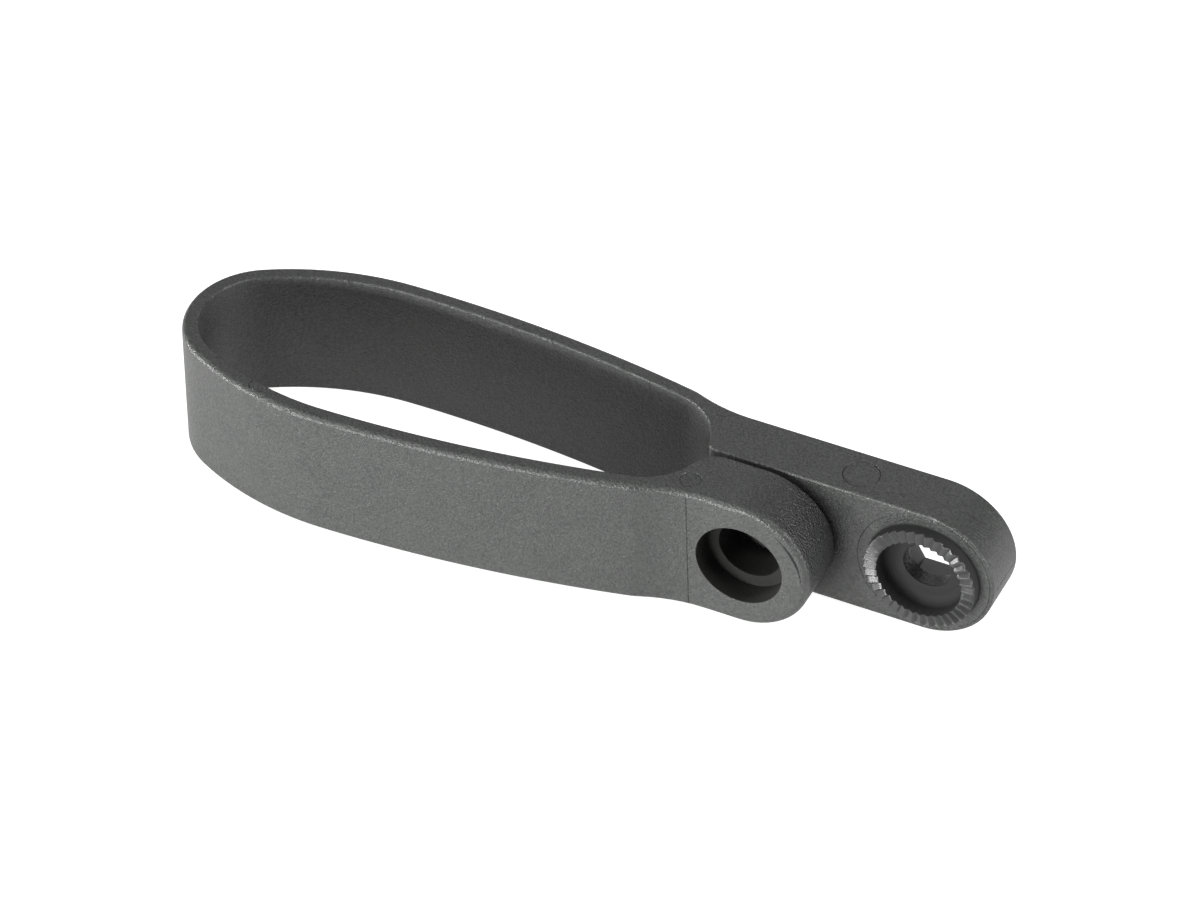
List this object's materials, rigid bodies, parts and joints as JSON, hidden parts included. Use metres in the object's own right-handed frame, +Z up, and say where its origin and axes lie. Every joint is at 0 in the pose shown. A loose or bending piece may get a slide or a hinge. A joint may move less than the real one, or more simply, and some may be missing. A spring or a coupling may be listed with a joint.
{
  "type": "rear reflector mount",
  "caption": "Moulded teardrop clamp band for an aerofoil seatpost, with a clamp-bolt lug and an arm that ends in a toothed seat for a rear reflector.",
  "frame": {"origin": "centre of the toothed face that the reflector's own teeth meet, on the axis of the reflector's bolt and halfway up the band", "axes": "+X along the arm, from the band's opening to the arm's tip; +Y into the arm, away from the reflector; +Z up, across the band's height"},
  "size_m": [0.0911, 0.0238, 0.0156],
  "materials": {
    "moulded_nylon": "fine spark-eroded grain"
  },
  "bodies": {
    "root": {"bracket": "moulded_nylon"}
  },
  "joints": []
}
